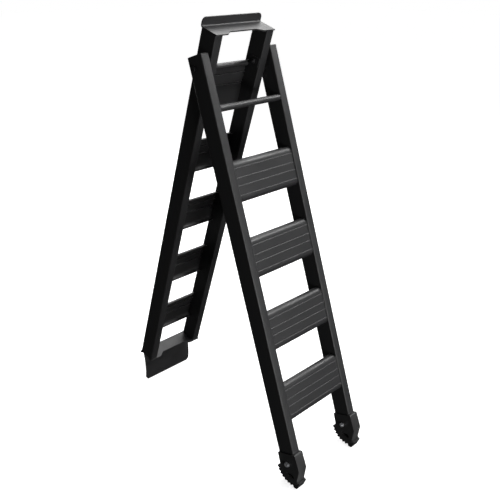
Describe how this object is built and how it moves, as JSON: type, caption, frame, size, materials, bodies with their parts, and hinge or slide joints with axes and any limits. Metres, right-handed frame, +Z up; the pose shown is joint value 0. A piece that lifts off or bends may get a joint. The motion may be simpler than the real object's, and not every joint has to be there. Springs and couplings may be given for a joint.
{
  "type": "step ladder",
  "caption": "Two-section folding step ladder standing as an A-frame: rectangular tube rails, deep ribbed treads, hook bracket on top, curved tongue foot and rubber-soled boots.",
  "frame": {"origin": "on the ground, at the centre of the footprint of the open ladder", "axes": "+Z up, +X across the ladder to the right as seen from the front, the front section faces -Y and the rear section stands at +Y"},
  "size_m": [0.357, 0.9102, 1.4892],
  "materials": {
    "black_powder_coat": "satin, fine powder texture",
    "black_plastic": "matte moulded",
    "sole_rubber": "matte",
    "black_hardware": "blackened steel, satin",
    "zinc_hardware": "zinc plated"
  },
  "bodies": {
    "front_section": {"boot_bolt_left": "zinc_hardware", "boot_bolt_right": "zinc_hardware", "boot_nut_left": "zinc_hardware", "boot_nut_right": "zinc_hardware", "boot_washer_left": "zinc_hardware", "boot_washer_right": "zinc_hardware", "front_boot_left": "black_plastic", "front_boot_right": "black_plastic", "front_cross_rod": "black_powder_coat", "front_rail_cap_left": "black_plastic", "front_rail_cap_right": "black_plastic", "front_rail_left": "black_powder_coat", "front_rail_right": "black_powder_coat", "front_sole_left": "sole_rubber", "front_sole_right": "sole_rubber", "front_tread_1": "black_powder_coat", "front_tread_2": "black_powder_coat", "front_tread_3": "black_powder_coat", "front_tread_4": "black_powder_coat", "pivot_bolt_left": "black_hardware", "pivot_bolt_right": "black_hardware", "pivot_bush_left": "black_plastic", "pivot_bush_right": "black_plastic", "pivot_inner_washer_left": "black_hardware", "pivot_inner_washer_right": "black_hardware", "pivot_nut_left": "black_hardware", "pivot_nut_right": "black_hardware", "pivot_washer_left": "black_hardware", "pivot_washer_right": "black_hardware"},
    "rear_section": {"pivot_plate_left": "black_powder_coat", "pivot_plate_right": "black_powder_coat", "ramp_tongue_bracket": "black_powder_coat", "rear_rail_left": "black_powder_coat", "rear_rail_right": "black_powder_coat", "rear_tread_1": "black_powder_coat", "rear_tread_2": "black_powder_coat", "rear_tread_3": "black_powder_coat", "rear_tread_4": "black_powder_coat", "rear_tread_5": "black_powder_coat", "top_hook_bracket": "black_powder_coat"}
  },
  "joints": [
    {"name": "fold", "type": "hinge", "parent": "front_section", "child": "rear_section", "pos_m": [0, 0.01533, 1.33802], "axis": [1, 0, 0], "range_deg": [-35.6, 144]}
  ]
}
